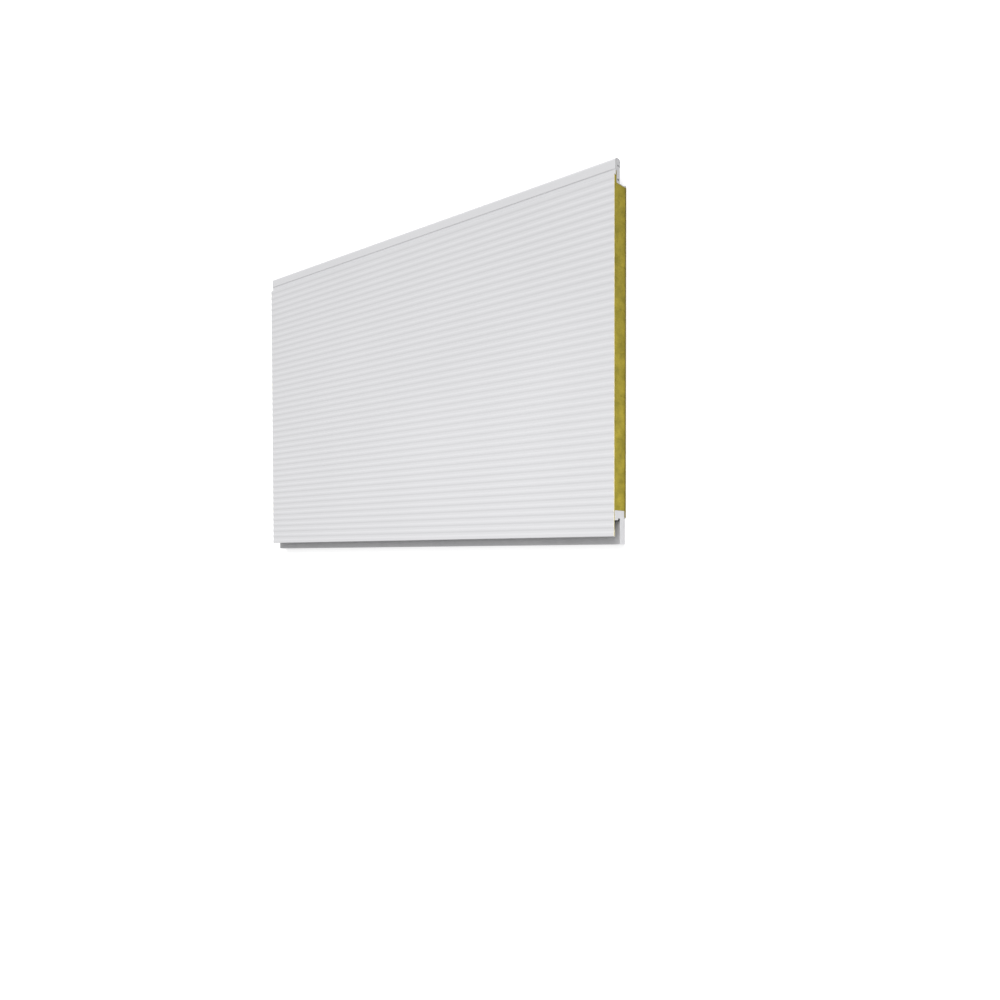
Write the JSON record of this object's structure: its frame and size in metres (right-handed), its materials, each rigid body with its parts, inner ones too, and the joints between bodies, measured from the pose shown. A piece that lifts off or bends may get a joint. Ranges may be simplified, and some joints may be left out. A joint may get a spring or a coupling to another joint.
{
  "type": "insulated metal wall panel",
  "caption": "Flat steel-faced sandwich panel with a mineral wool core, fine horizontal ribs on its outer face, and a concealed tongue and groove along its long edges.",
  "frame": {"origin": "bottom centre of the panel's box, on the inner face that it lies on", "axes": "+X along the panel's length, +Y across its cover width towards the tongued edge, +Z out of the ribbed outer face"},
  "size_m": [1.6, 1.0636, 0.06],
  "materials": {
    "outer_steel": "coil-coated steel, off-white polyester paint, satin",
    "inner_steel": "coil-coated steel, light grey-white polyester paint, satin",
    "adhesive": "cured polyurethane glue, tan",
    "mineral_wool": "resin-bonded mineral wool, olive, fibrous",
    "edge_foam": "rigid foam, light grey, fine cells",
    "seal_rubber": "soft black sealing strip, matt"
  },
  "bodies": {
    "root": {"outer_sheet": "outer_steel", "inner_sheet": "inner_steel", "front_adhesive": "adhesive", "back_adhesive": "adhesive", "wool_core": "mineral_wool", "tongue_strip": "edge_foam", "groove_strip": "edge_foam", "joint_seal": "seal_rubber"}
  },
  "joints": []
}
